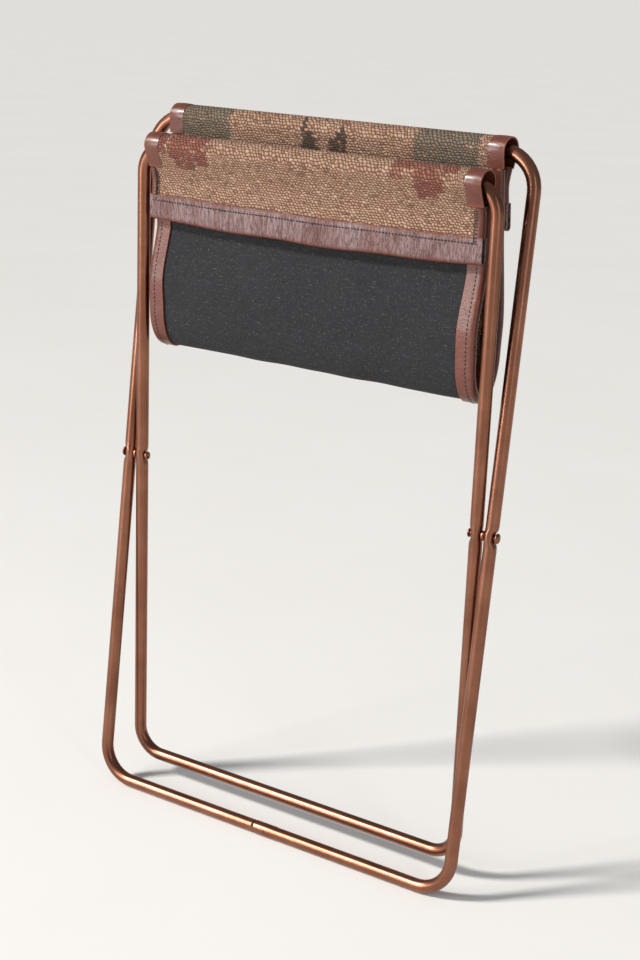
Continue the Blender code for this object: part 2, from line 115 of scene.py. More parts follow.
# ---------------------------------------------------------------- sling
KILIM_T = 2.6 * MM
CANVAS_T = 1.2 * MM
LEATHER_T = 1.3 * MM
FIT = 0.3 * MM
KILIM_SIDE = FIT / 2 + KILIM_T
CANVAS_SIDE = FIT / 2 + CANVAS_T
LEATHER_HALF = BINDING_HIGH.x
BINDING_WIDTH = BINDING_HIGH.x - BINDING_LOW.x
SLEEVE_SIDE = TUBE_R + 2.3 * MM + CANVAS_SIDE
SLEEVE_TOP = TUBE_R + 0.9 * MM + CANVAS_SIDE
STACK_TOP = 24.6 * MM          # below a bar, where flap and panel come together
FLAP_DROP = 63.0 * MM
BELOW_HEM = 8.0 * MM
APEX = SLING_AXIS + Vector((0.0, 13.0 * MM, 12.5 * MM))
PINCH = (2 * LEATHER_T + 3 * FIT) / 2 + CANVAS_SIDE
LEATHER_IN = CANVAS_SIDE + FIT + LEATHER_T / 2      # the middle of a leather strip, on each side of the path
LEATHER_OUT = KILIM_SIDE + FIT + LEATHER_T / 2
FOLD_R = (LEATHER_IN + LEATHER_OUT) / 2
FOLD_OFF = (LEATHER_OUT - LEATHER_IN) / 2
SUNK = 0.05 * MM                                    # how deep a stitch's middle lies in the leather
LEATHER_FACE = KILIM_SIDE + FIT + LEATHER_T - SUNK
LEATHER_BACK = -(CANVAS_SIDE + FIT + LEATHER_T - SUNK)
HEM_LENGTH = 55 * MM                                # the hem leather's length, unfolded
PRESSED = 0.92              # a sewn strip's thickness against loose leather's
HEM_TOP = (40.8 * MM, 42.2 * MM)        # the hem's edges below the bar, at its ends and in its middle
HEM_BOTTOM = (61.3 * MM, 64.8 * MM)
CLOTH_DROP = FLAP_DROP - 4 * MM         # where the cloths end inside the hem
NEAR_BAR = 22 * MM                      # the cloth lies tight this far round a bar

# Each half: its bar, the way its flap faces, how far the sewn layers are out from the bar at their top and
# bottom, the panel's furthest bulge, where the belly begins and turns, how far the caps hang below the bar,
# and where the hem's ripple starts.
FRONT = {"label": "front", "bar": FRONT_BAR, "out": -1, "stack": (-3.9 * MM, -4.4 * MM), "bulge": 1.2 * MM,
         "belly": (60 * MM, 34 * MM), "cap_hang": 16.5 * MM, "ripple": 0.4}
BACK = {"label": "back", "bar": BACK_BAR, "out": 1, "stack": (-3.5 * MM, 1.5 * MM), "bulge": 8.4 * MM,
        "belly": (66 * MM, 37 * MM), "cap_hang": 13.0 * MM, "ripple": 2.0}

# ---------------------------------------------------------------- weave
NUB_PITCH = 3.3 * MM
NUB_ROW = 2.1 * MM
NUB_LEAN = 0.30
THREAD = 0.9 * MM
RED = (0.165, 0.050, 0.038)
GREEN = (0.118, 0.106, 0.080)
BLACK = (0.030, 0.028, 0.022)
# Motif blocks in metres: from x, to x, from and to their drop from a bar's crown, along the cloth.
FRONT_RED = [(-0.157, -0.139, -0.004, 0.018), (-0.134, -0.096, -0.006, 0.022), (-0.130, -0.108, 0.022, 0.029),
             (-0.104, -0.096, 0.022, 0.026), (0.084, 0.143, -0.004, 0.009), (0.084, 0.094, 0.009, 0.015),
             (0.101, 0.128, 0.009, 0.024), (0.106, 0.123, 0.024, 0.029)]
BACK_GREEN = [(-0.162, -0.096, -0.030, 0.032), (0.084, 0.143, -0.030, 0.032)]
BACK_DARK = [(-0.0235, -0.0205, 0.004, 0.014), (-0.0235, -0.0130, 0.014, 0.030),
             (-0.0130, -0.0060, 0.019, 0.030), (-0.0180, -0.0150, 0.007, 0.011),
             (0.0020, 0.0090, 0.018, 0.030), (0.0090, 0.0190, 0.012, 0.030), (0.0120, 0.0160, 0.006, 0.012)]


def deselect():
    if bpy.context.object and bpy.context.object.mode != "OBJECT":
        bpy.ops.object.mode_set(mode="OBJECT")
    bpy.ops.object.select_all(action="DESELECT")


def take(piece):
    """Selects one piece alone and makes it the active one."""
    deselect()
    piece.select_set(True)
    bpy.context.view_layer.objects.active = piece


# ================================================================ shader writing
def operator(operation, reflected=False):
    """A Python operator that adds a Math node."""
    def method(self, other):
        pair = (other, self) if reflected else (self, other)
        return self.finish.node("ShaderNodeMath", {"operation": operation}, dict(enumerate(pair)))
    return method


class Field:
    """A value that changes over a surface: an output socket that Python's operators work on."""

    def __init__(self, finish, socket):
        self.finish = finish
        self.socket = socket

    __add__, __radd__ = operator("ADD"), operator("ADD", True)
    __sub__, __rsub__ = operator("SUBTRACT"), operator("SUBTRACT", True)
    __mul__, __rmul__ = operator("MULTIPLY"), operator("MULTIPLY", True)
    __truediv__, __rtruediv__ = operator("DIVIDE"), operator("DIVIDE", True)
    __mod__, __rmod__ = operator("FLOORED_MODULO"), operator("FLOORED_MODULO", True)
    __pow__, __rpow__ = operator("POWER"), operator("POWER", True)
    least, most = operator("MINIMUM"), operator("MAXIMUM")

    def math(self, operation):
        return self.finish.node("ShaderNodeMath", {"operation": operation}, {0: self})

    def __abs__(self):
        return self.math("ABSOLUTE")

    def floor(self):
        return self.math("FLOOR")

    def sine(self):
        return self.math("SINE")

    def above(self, edge, soft=0.0):
        """0 below the edge, 1 above it, over a soft step."""
        if not soft:
            return self.finish.node("ShaderNodeMath", {"operation": "GREATER_THAN"}, {0: self, 1: edge})
        return self.finish.node("ShaderNodeMapRange", {"interpolation_type": "SMOOTHSTEP"},
                                {"Value": self, "From Min": edge - soft, "From Max": edge + soft})

    def between(self, low, high):
        return self.above(low) * (1 - self.above(high))

    def clamp(self):
        return self.finish.node("ShaderNodeClamp", {}, {"Value": self})


class Finish:
    """The nodes of a material or of the world, added one by one by the node method."""

    def __init__(self, owner, shader="Principled BSDF"):
        self.owner = owner
        owner.use_nodes = True
        self.tree = owner.node_tree
        self.shader = self.tree.nodes[shader]

    def node(self, kind, settings=None, inputs=None, output=0):
        """Adds a node, its settings first, then its inputs; gives one of its outputs, or all for None."""
        made = self.tree.nodes.new(kind)
        for name, value in (settings or {}).items():
            setattr(made, name, value)
        self.feed(made, inputs or {})
        if output is None:
            return [Field(self, socket) for socket in made.outputs]
        return Field(self, made.outputs[output])

    def feed(self, made, inputs):
        for name, value in inputs.items():
            if isinstance(value, Field):
                self.tree.links.new(value.socket, made.inputs[name])
            else:
                made.inputs[name].default_value = value

    def split(self, vector):
        return self.node("ShaderNodeSeparateXYZ", {}, {0: vector}, output=None)

    def join(self, x, y, z=0.0):
        return self.node("ShaderNodeCombineXYZ", {}, {"X": x, "Y": y, "Z": z})

    def place(self):
        return self.node("ShaderNodeTexCoord", output="Object")

    def cloth_place(self):
        return self.node("ShaderNodeUVMap", {"uv_map": "UVMap"})

    def noise(self, vector, scale, detail=2.0, roughness=0.5, distortion=0.0):
        return self.node("ShaderNodeTexNoise", {}, {"Vector": vector, "Scale": scale, "Detail": detail,
                                                    "Roughness": roughness, "Distortion": distortion})

    def random(self, vector):
        return self.node("ShaderNodeTexWhiteNoise", {"noise_dimensions": "3D"}, {"Vector": vector})

    def mix(self, amount, one, other):
        one, other = (colour if isinstance(colour, Field) else (*colour, 1.0) for colour in (one, other))
        return self.node("ShaderNodeMix", {"data_type": "RGBA"}, {0: amount, 6: one, 7: other}, output=2)

    def bump(self, height, distance, strength=1.0, under=None):
        inputs = {"Height": height, "Distance": distance, "Strength": strength}
        if under is not None:
            inputs["Normal"] = under
        return self.node("ShaderNodeBump", {}, inputs)

    def surface(self, **inputs):
        self.feed(self.shader, {name.replace("_", " "): value for name, value in inputs.items()})
        return self.owner


def stretched(finish, vector, x, y, z):
    """The place vector with each axis multiplied."""
    return finish.node("ShaderNodeVectorMath", {"operation": "MULTIPLY"}, {0: vector, 1: (x, y, z)})


def copper_finish(name):
    """Copper plate over steel: satin, browned, with darker stains and fine drawn lines."""
    finish = Finish(bpy.data.materials.new(name))
    place = finish.place()
    tone = finish.noise(place, 24.0, 4.0, 0.6)
    stain = finish.noise(stretched(finish, place, 1.0, 1.0, 0.3), 60.0, 4.0, 0.6).above(0.62, 0.16)
    specks = finish.noise(place, 900.0, 2.0, 0.6).above(0.70, 0.05)
    base = finish.mix(tone.above(0.5, 0.22), (0.315, 0.138, 0.086), (0.225, 0.092, 0.056))
    base = finish.mix(stain * 0.38, base, (0.15, 0.06, 0.036))
    base = finish.mix(specks * 0.4, base, (0.10, 0.045, 0.03))
    smear = finish.noise(stretched(finish, place, 1.0, 1.0, 0.35), 90.0, 3.0, 0.55)
    rough = 0.235 + 0.12 * smear + 0.06 * stain + 0.08 * specks
    grain = finish.noise(place, 1600.0, 2.0, 0.5)
    dents = finish.noise(place, 45.0, 2.0, 0.5)
    normal = finish.bump(grain, 0.00001, 0.2, finish.bump(dents, 0.0006, 0.2))
    return finish.surface(Base_Color=base, Metallic=1.0, Roughness=rough, Normal=normal)


def nub_field(finish, along, across):
    """Slanted nubs in staggered rows: height, a random number for each nub, and its column and row."""
    rows = across / NUB_ROW
    line = rows.floor()
    half_step = (line % 2.0) * 0.5
    column = along / NUB_PITCH + half_step + (rows - line) * NUB_LEAN
    cell = column.floor()
    u = (column - cell - 0.5) * 2
    v = (rows - line - 0.5) * 2
    height = ((1 - u * u) * (1 - v * v)).most(0.0) ** 0.55
    luck = finish.random(finish.join(cell, line))
    return height, luck, cell, line


def kilim_finish():
    """Coarse slanted flat weave in browned jute, with faded stepped motifs that follow the rows."""
    finish = Finish(bpy.data.materials.new("kilim_weave"))
    across, along, _ = finish.split(finish.cloth_place())
    wander = finish.noise(finish.join(across, along), 110.0, 3.0) - 0.5
    drift = finish.noise(finish.join(along, across), 130.0, 3.0) - 0.5
    x = across + wander * 0.0066
    s = along + drift * 0.0050
    height, luck, cell, line = nub_field(finish, x, s)
    # The motifs are drawn in whole nubs, so their edges step.
    mx = (cell + 0.5) * NUB_PITCH
    ms = (line + 0.5) * NUB_ROW
    fade = finish.noise(finish.join(across, along), 95.0, 3.0, 0.6)
    yarn = finish.mix(luck, (0.235, 0.132, 0.085), (0.34, 0.205, 0.135))
    broad = finish.noise(finish.join(across, along), 16.0, 3.0, 0.55)
    yarn = finish.mix((1 - broad) * 0.65, yarn, (0.27, 0.135, 0.088))
    pale = finish.random(finish.join(line, cell, 7.0)).above(0.88)
    yarn = finish.mix(pale * 0.35, yarn, (0.60, 0.45, 0.34))
    # Painted highlight: the tops of the nubs are mixed towards a paler colour, as if light caught them.
    crown = height.above(0.80, 0.14)
    yarn = finish.mix(crown * 0.5, yarn, (0.54, 0.375, 0.28))
    # In this weave the mask is real wear: where it is high, the motifs' dye has worn away.
    wear_and_painted_sheen = (luck * 0.6 + fade * 1.1).above(0.56, 0.22)
    for dye, amount, crown_at, boxes in MOTIFS:
        inside = None
        for left, right, high, low in boxes:
            box = mx.between(left, right) * ms.between(crown_at - low, crown_at - high)
            inside = box if inside is None else inside.most(box)
        # The dye in two tones, lighter on the nub tops and darker lower down: painted highlight and painted
        # shade.
        dye_with_painted_light = finish.mix(height.above(0.7, 0.3), [c * 0.75 for c in dye], [c * 1.45 for c in dye])
        yarn = finish.mix(inside * wear_and_painted_sheen * amount, yarn, dye_with_painted_light)
    # Painted shade: the hollows between the nubs are darkened.
    gap = 1 - height.above(0.44, 0.36)
    colour = finish.mix(gap * 0.80, yarn, (0.085, 0.042, 0.026))
    dark = finish.random(finish.join(cell, line, 3.0)).above(0.93)
    colour = finish.mix(dark * 0.55, colour, (0.10, 0.055, 0.035))
    fibre = finish.noise(finish.join(x, s * 3.0), 900.0, 3.0, 0.7)
    normal = finish.bump(fibre, 0.00012, 0.5, finish.bump(height, 0.0009, 0.9))
    return finish.surface(Base_Color=colour, Roughness=0.94, Normal=normal, Specular_IOR_Level=0.2)


def canvas_finish():
    """Charcoal canvas, plain woven and slightly felted, with pale lint and worn flecks."""
    finish = Finish(bpy.data.materials.new("charcoal_canvas"))
    across, along, _ = finish.split(finish.cloth_place())
    flat = finish.join(across, along)
    warp = (across * (2 * math.pi / THREAD)).sine()
    weft = (along * (2 * math.pi / THREAD)).sine()
    weave = warp * weft
    mottle = finish.noise(flat, 130.0, 5.0, 0.7)
    cloud = finish.noise(flat, 14.0, 3.0, 0.5)
    lint = finish.noise(finish.join(across * 1.3, along * 0.7), 480.0, 3.0, 0.8).above(0.65, 0.10)
    slub = finish.noise(finish.join(across * 0.35, along * 2.2), 420.0, 2.0, 0.6).above(0.68, 0.09)
    base = finish.mix(mottle, (0.014, 0.0137, 0.0152), (0.036, 0.0355, 0.0395))
    base = finish.mix(cloud.above(0.5, 0.2) * 0.5, base, (0.030, 0.0295, 0.032))
    base = finish.mix((lint * 0.42 + slub * 0.30).clamp(), base, (0.20, 0.195, 0.195))
    felt = finish.noise(flat, 1100.0, 3.0, 0.7)
    normal = finish.bump(weave * 0.5 + felt * 0.9, 0.00022, 0.8, finish.bump(mottle, 0.0008, 0.35))
    return finish.surface(Base_Color=base, Roughness=0.92, Normal=normal, Specular_IOR_Level=0.12,
                          Sheen_Weight=0.04, Sheen_Roughness=0.5)


def leather_finish(name, crease=1.0, creased_along_x=True):
    """Dark red-brown waxed leather: creased, lighter on raw edges. UV runs across, then along the strip;
    the piece's own edge attribute marks the cut edges."""
    finish = Finish(bpy.data.materials.new(name))
    place = finish.place()
    across, along, _ = finish.split(finish.cloth_place())
    raw = finish.node("ShaderNodeAttribute", {"attribute_name": "raw_edge"}, output="Fac")
    tone = finish.noise(place, 42.0, 4.0, 0.6)
    grain = finish.noise(place, 620.0, 4.0, 0.7)
    if creased_along_x:
        run = finish.join(across, along * 0.14)
    else:
        run = finish.join(across * 0.3, along)
    folds = finish.noise(run, 330.0, 4.0, 0.68, 0.6)
    gather = finish.noise(finish.join(across, along * 0.3), 38.0, 2.0, 0.5)
    lines = 1 - (abs(folds - 0.5) * 22.0).least(1.0)
    fine = finish.noise(run, 520.0, 3.0, 0.6, 0.3)
    base = finish.mix(tone, (0.080, 0.018, 0.008), (0.165, 0.040, 0.019))
    # Painted shade: the colour is darkened along the crease lines.
    base = finish.mix(lines * 0.7 * crease, base, (0.016, 0.006, 0.005))
    base = finish.mix(grain.above(0.6, 0.1) * 0.35, base, (0.10, 0.034, 0.022))
    base = finish.mix(raw * 0.9, base, (0.20, 0.046, 0.022))
    # Painted sheen: a pale lilac highlight is mixed into the colour between the creases, strongest on the shiny
    # patches, in place of light reflected off the coat.
    shine = gather.above(0.42, 0.14)
    wear_and_painted_sheen = (1 - lines) * (0.25 + 0.75 * shine) * (0.6 + 0.4 * fine.above(0.45, 0.10))
    base = finish.mix(wear_and_painted_sheen * 0.72 * crease * (1 - raw), base, (0.30, 0.225, 0.235))
    rough = 0.33 - 0.10 * shine + 0.12 * grain + 0.15 * raw
    relief = fine * 0.5 + folds
    normal = finish.bump(grain, 0.00016, 0.35, finish.bump(relief, 0.0018 * crease + 0.0001, 1.0))
    return finish.surface(Base_Color=base, Roughness=rough, Normal=normal, Specular_IOR_Level=0.38,
                          Coat_Weight=0.12, Coat_Roughness=0.14)


def thread_finish(name, colour):
    """Waxed twisted thread."""
    finish = Finish(bpy.data.materials.new(name))
    place = finish.place()
    tone = finish.noise(place, 500.0, 3.0, 0.6)
    base = finish.mix(tone, [c * 0.6 for c in colour], [c * 1.3 for c in colour])
    normal = finish.bump(finish.noise(place, 2500.0, 2.0), 0.0001, 0.5)
    return finish.surface(Base_Color=base, Roughness=0.75, Normal=normal)


def floor_finish():
    """Pale studio floor with the faintest mottling."""
    finish = Finish(bpy.data.materials.new("pale_floor"))
    place = finish.place()
    tone = finish.noise(place, 3.0, 4.0, 0.6)
    base = finish.mix(tone, (0.80, 0.785, 0.76), (0.85, 0.84, 0.82))
    return finish.surface(Base_Color=base, Roughness=0.85, Specular_IOR_Level=0.2)


# ================================================================ pieces
def finished(piece, name, finish, body, replaces=()):
    """Names a piece, gives it its finish, and hangs it on its body; a piece of the whole sling hangs on no body,
    its place is only baked in.
    """
    piece.name = name
    piece.data.name = name
    piece.data.materials.clear()
    piece.data.materials.append(finish)
    if body == "sling":
        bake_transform(piece)
    else:
        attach(piece, body)
    if replaces:
        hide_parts(*replaces)
    return piece


def apply_place(piece):
    take(piece)
    bpy.ops.object.transform_apply(location=True, rotation=True, scale=True)


def smooth_shade(piece, crease=40):
    take(piece)
    bpy.ops.object.shade_smooth_by_angle(angle=math.radians(crease))


def apply_modifiers(piece):
    take(piece)
    for modifier in list(piece.modifiers):
        bpy.ops.object.modifier_apply(modifier=modifier.name)


class Bender:
    """Draws a tube on from an open ring: straight runs are extruded and bends are spun."""

    def __init__(self, start, along, radius):
        turn = Vector((0, 0, 1)).rotation_difference(along).to_euler()
        deselect()
        bpy.ops.mesh.primitive_circle_add(vertices=SIDES, radius=radius, fill_type="NOTHING",
                                          location=start, rotation=turn)
        self.piece = bpy.context.object
        apply_place(self.piece)
        bpy.ops.object.mode_set(mode="EDIT")
        bpy.ops.mesh.select_all(action="SELECT")
        self.end = Vector(start)
        self.along = Vector(along)
        self.radius = radius

    def run(self, length, radius=None, thin=1.0, broad=1.0, shift=0.0):
        """Goes on; the end ring may change radius, be pressed along X, spread along Y or moved along X."""
        step = self.along * length + Vector((shift, 0.0, 0.0))
        bpy.ops.mesh.extrude_region_move(TRANSFORM_OT_translate={"value": step})
        self.end += step
        scale = Vector((1, 1, 1))
        if radius:
            scale *= radius / self.radius
            self.radius = radius
        scale.x *= thin
        scale.y *= broad
        if scale != Vector((1, 1, 1)):
            bpy.ops.transform.resize(value=scale, center_override=self.end)

    def bend(self, radius, side):
        """A quarter bend in the X-Z plane towards the side direction."""
        centre = self.end + Vector(side) * radius
        axis = Vector(side).cross(self.along)
        bpy.ops.mesh.spin(steps=BEND_STEPS, angle=math.pi / 2, center=centre, axis=axis)
        self.along, old = Vector(side), self.along
        self.end = centre + old * radius

    def seat(self, shift):
        """The pressed seat at a pivot: the tube is flattened and set over sideways."""
        pressed = (SEAT_FLAT, SEAT_BROAD, 1.0)
        eased = (0.97, 1.01, 0.2)
        stations = ((3.0, *eased), (3.0, *pressed), (3.5, *pressed), (3.5, *pressed), (3.0, *eased),
                    (3.0, 1.0, 1.0, 0.0))
        thin, broad, over = 1.0, 1.0, 0.0
        for length, next_thin, next_broad, next_over in stations:
            self.run(length * MM, thin=next_thin / thin, broad=next_broad / broad,
                     shift=(next_over - over) * shift)
            thin, broad, over = next_thin, next_broad, next_over

    def done(self, lean):
        """Leans the loop about the pivot and puts it in place."""
        bpy.ops.mesh.select_all(action="SELECT")
        bpy.ops.mesh.remove_doubles(threshold=0.000001)
        bpy.ops.mesh.normals_make_consistent(inside=False)
        bpy.ops.object.mode_set(mode="OBJECT")
        self.piece.rotation_euler = (-lean, 0, 0)
        self.piece.location = PIVOT
        apply_place(self.piece)
        wall = self.piece.modifiers.new("wall", "SOLIDIFY")
        wall.thickness = TUBE_WALL
        wall.offset = -1.0
        apply_modifiers(self.piece)
        smooth_shade(self.piece)
        return self.piece


def outer_loop():
    """From its drawn-down end on the bottom bar, round by the left leg, to the belled end over it."""
    half, low, high, r = OUTER_HALF, -OUTER_DOWN, OUTER_UP, OUTER_BEND_R
    tube = Bender((JOINT_HALF, 0, low), (-1, 0, 0), DRAWN_R)
    tube.run(2 * JOINT_HALF + 0.4 * MM)
    for length, radius in ((0.8, 5.0), (1.0, 5.4), (0.8, TUBE_R / MM)):
        tube.run(length * MM, radius=radius * MM)
    tube.run(half - r + tube.end.x)
    tube.bend(r, (0, 0, 1))
    tube.run(-low - r - SEAT_HALF)
    tube.seat(1.2 * MM)
    tube.run(high - r - SEAT_HALF)
    tube.bend(r, (1, 0, 0))
    tube.run(2 * (half - r))
    tube.bend(r, (0, 0, -1))
    tube.run(high - r - SEAT_HALF)
    tube.seat(-1.2 * MM)
    tube.run(-low - r - SEAT_HALF)
    tube.bend(r, (-1, 0, 0))
    tube.run(tube.end.x - (JOINT_HALF + 3.0 * MM))
    for length, radius in ((3.0, 5.72), (12.0, 5.78), (6.0, 5.72), (1.5, 5.85)):
        tube.run(length * MM, radius=radius * MM)
    tube.run(tube.end.x + JOINT_HALF, radius=5.8 * MM)
    return tube.done(LEAN)


def inner_loop():
    """Its ends meet in the middle of the top bar, inside the sleeve."""
    half, low, high, r = INNER_HALF, -INNER_DOWN, INNER_UP, INNER_BEND_R
    tube = Bender((FIT / 2, 0, high), (1, 0, 0), TUBE_R)
    tube.run(half - r - FIT / 2)
    tube.bend(r, (0, 0, -1))
    tube.run(high - r - SEAT_HALF)
    tube.seat(0.5 * MM)
    tube.run(-low - r - SEAT_HALF)
    tube.bend(r, (-1, 0, 0))
    tube.run(2 * (half - r))
    tube.bend(r, (0, 0, 1))
    tube.run(-low - r - SEAT_HALF)
    tube.seat(-0.5 * MM)
    tube.run(high - r - SEAT_HALF)
    tube.bend(r, (1, 0, 0))
    tube.run(half - r - FIT / 2)
    return tube.done(INNER_LEAN)


def turned(profile, sides, centre, axis):
    """A closed turned piece from (radius, height) stations, drawn up from a filled circle."""
    (first_radius, first_height), *rest = profile
    deselect()
    bpy.ops.mesh.primitive_circle_add(vertices=sides, radius=first_radius, fill_type="NGON",
                                      location=(0, 0, first_height))
    piece = bpy.context.object
    apply_place(piece)
    bpy.ops.object.mode_set(mode="EDIT")
    bpy.ops.mesh.select_all(action="SELECT")
    last_radius, last_height = first_radius, first_height
    for radius, height in rest:
        bpy.ops.mesh.extrude_region_move(TRANSFORM_OT_translate={"value": (0, 0, height - last_height)})
        bpy.ops.transform.resize(value=(radius / last_radius, radius / last_radius, 1),
                                 center_override=(0, 0, height))
        last_radius, last_height = radius, height
    bpy.ops.mesh.select_all(action="SELECT")
    bpy.ops.mesh.normals_make_consistent(inside=False)
    bpy.ops.object.mode_set(mode="OBJECT")
    piece.rotation_euler = Vector((0, 0, 1)).rotation_difference(Vector(axis)).to_euler()
    piece.location = centre
    apply_place(piece)
    smooth_shade(piece, 50)
    return piece


def dome(radius, height, steps):
    """Stations of a domed head from its rim to its crown."""
    return [(radius * math.cos(math.pi / 2 * i / steps) + 0.02 * MM,
             height * (0.22 + 0.78 * math.sin(math.pi / 2 * i / steps))) for i in range(steps + 1)]


def pivots(finish):
    """Rivet heads, shanks and rolled tails, and the spacer between the two legs at each side."""
    for side, label in SIDES_OF_RACK:
        low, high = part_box(f"pivot_rivet_{label}")
        out, inner = (high.x, low.x) if side > 0 else (-low.x, -high.x)
        root = out - HEAD_HEIGHT
        tail = (inner - root) / MM
        profile = [(0.9, tail + 1.3), (1.3, tail + 1.1), (1.7, tail + 0.2), (2.4, tail - 0.2),
                   (3.2, tail + 0.1), (3.7, tail + 0.7), (3.6, tail + 1.3), (2.0, tail + 1.6), (2.0, -0.2),
                   (4.0, -0.1), (HEAD_R / MM, 0.25)]
        profile = [(radius * MM, height * MM) for radius, height in profile]
        profile += dome(HEAD_R, HEAD_HEIGHT, 7)[1:]
        rivet = turned(profile, 28, (side * root, PIVOT.y, PIVOT.z), (side, 0, 0))
        finished(rivet, f"pivot_rivet_{label}_turned", finish, "outer_frame", [f"pivot_rivet_{label}"])
        low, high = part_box(f"pivot_spacer_{label}")
        half = (high.x - low.x) / 2
        edge = [(3.3 * MM, half), (3.9 * MM, half - 0.35 * MM), (4.1 * MM, half - 0.8 * MM)]
        ring = [(radius, -height) for radius, height in edge] + edge[::-1]
        spacer = turned(ring, 28, ((low.x + high.x) / 2, PIVOT.y, PIVOT.z), (side, 0, 0))
        finished(spacer, f"pivot_spacer_{label}_turned", finish, "outer_frame", [f"pivot_spacer_{label}"])


# ================================================================ sling
class Path:
    """A smooth line in the Y-Z plane, read by its length."""

    def __init__(self, points):
        points = np.array(points, float)
        steps = np.hypot(*np.diff(points, axis=0).T)
        keep = np.concatenate(([True], steps > 1e-6))
        self.points = points[keep]
        self.length_at = np.concatenate(([0.0], np.cumsum(np.hypot(*np.diff(self.points, axis=0).T))))
        self.length = self.length_at[-1]

    def at(self, s):
        """Points at the given lengths, held to the path's two ends."""
        return np.stack([np.interp(s, self.length_at, column) for column in self.points.T], axis=-1)

    def side(self, s, step=0.6 * MM):
        """The unit normal on the kilim's side."""
        along = self.at(s + step) - self.at(s - step)
        along /= np.maximum(np.linalg.norm(along, axis=-1, keepdims=True), 1e-9)
        return np.stack((-along[..., 1], along[..., 0]), axis=-1)

    def find(self, y, z, low, high):
        """The length at the point of the path nearest to a place, between two lengths."""
        s = np.linspace(low, high, 4000)
        gap = self.at(s) - np.array((y, z))
        return s[np.argmin((gap ** 2).sum(-1))]


def rounded(points, steps):
    """Smooth curve through the points, however unevenly they are spaced."""
    points = [np.array(point, float) for point in points]
    ends = [2 * points[0] - points[1]] + points + [2 * points[-1] - points[-2]]
    curve = []
    for a, b, c, d in zip(ends, ends[1:], ends[2:], ends[3:]):
        length = np.linalg.norm(c - b)
        leaving = (c - a) * length / (length + np.linalg.norm(b - a))
        arriving = (d - b) * length / (length + np.linalg.norm(d - c))
        for step in range(steps):
            t = step / steps
            near = t * t * (3 - 2 * t)
            curve.append(b + (c - b) * near + leaving * t * (1 - t) ** 2 - arriving * t * t * (1 - t))
    return curve + [points[-1]]


def half_line(half):
    """One half of the sling from the flap's bottom to the middle of the sling, as points (y, z)."""
    bar, out = half["bar"], half["out"]
    apex_x = out * (APEX.y - bar.y)
    apex_z = APEX.z - bar.z + CANVAS_SIDE
    high, low = half["stack"]
    lean = (low - high) / (FLAP_DROP - STACK_TOP)
    depths = [STACK_TOP, (STACK_TOP + FLAP_DROP) / 2, FLAP_DROP, FLAP_DROP + BELOW_HEM]
    line = [(high + lean * (depth - STACK_TOP), -depth) for depth in depths]
    flap = [(x + PINCH, z) for x, z in reversed(line)]
    over = [math.pi * i / 10 for i in range(11)]
    loop = [(SLEEVE_SIDE * math.cos(a), SLEEVE_TOP * math.sin(a)) for a in over]
    bulge_up, turn_up = half["belly"]
    panel = [(x - PINCH, z) for x, z in line] + [(half["bulge"], apex_z + bulge_up)]
    width = half["bulge"] - 0.9 * MM - apex_x
    turn = [(apex_x + width * math.cos(a), apex_z + turn_up * (1 - math.sin(a)))
            for a in (math.pi / 2 * i / 8 for i in range(9))]
    return [(bar.y + out * x, bar.z + z) for x, z in rounded(flap + loop + panel + turn, 10)]


PATH = Path(half_line(FRONT) + half_line(BACK)[-2::-1])
BOTTOM = PATH.find(APEX.y, APEX.z + CANVAS_SIDE, 0.25 * PATH.length, 0.75 * PATH.length)
FRONT_CROWN = PATH.find(FRONT_BAR.y, FRONT_BAR.z + SLEEVE_TOP, 0.0, BOTTOM)
BACK_CROWN = PATH.find(BACK_BAR.y, BACK_BAR.z + SLEEVE_TOP, BOTTOM, PATH.length)
FRONT.update(crown=FRONT_CROWN, flap=(0.0, FRONT_CROWN), panel=(FRONT_CROWN, BOTTOM))
BACK.update(crown=BACK_CROWN, flap=(BACK_CROWN, PATH.length), panel=(BOTTOM, BACK_CROWN))
MOTIFS = [(RED, 0.88, FRONT_CROWN, FRONT_RED), (GREEN, 0.92, BACK_CROWN, BACK_GREEN),
          (BLACK, 0.92, BACK_CROWN, BACK_DARK)]


def depth_to_length(half, depth, part="flap"):
    """Length of the path at a depth below a bar, on its flap or on its panel."""
    s = np.linspace(*half[part], 4000)
    return s[np.argmin(abs(PATH.at(s)[:, 1] - (half["bar"].z - depth)))]


def wave(x, s):
    """Gentle unevenness of hung cloth, the same each run."""
    k = 2 * math.pi / 0.085
    a = np.sin(k * x + 1.3 + 1.7 * np.sin(0.6 * k * s + 1.0))
    b = np.sin(0.73 * k * s + 2.1 + 1.3 * np.sin(0.8 * k * x + 0.5))
    c = np.sin(1.9 * k * (x + 0.6 * s) + 1.0)
    return (a + b + 0.5 * c) / 2.5


def scale_uv(piece, width, length, start=0.0):
    """The UV map in metres: across from the middle, and along from a start."""
    layer = piece.data.uv_layers[0]
    uv = np.zeros(len(layer.data) * 2)
    layer.data.foreach_get("uv", uv)
    uv = (uv.reshape(-1, 2) - (0.5, 0.0)) * (width, length) + (0.0, start)
    layer.data.foreach_set("uv", uv.ravel())


def sheet_grid(width, columns, rows):
    """A flat sheet: across from its middle in metres, and its share of the length from 0 to 1."""
    deselect()
    bpy.ops.mesh.primitive_grid_add(x_subdivisions=columns, y_subdivisions=rows, size=1.0)
    piece = bpy.context.object
    piece.data.uv_layers[0].name = "UVMap"
    flat = flat_points(piece)
    return piece, flat[:, 0] * width, flat[:, 1] + 0.5


def flat_points(piece):
    co = np.zeros(len(piece.data.vertices) * 3)
    piece.data.vertices.foreach_get("co", co)
    return co.reshape(-1, 3)


def lay(piece, points):
    piece.data.vertices.foreach_set("co", np.asarray(points, float).ravel())
    piece.data.update()


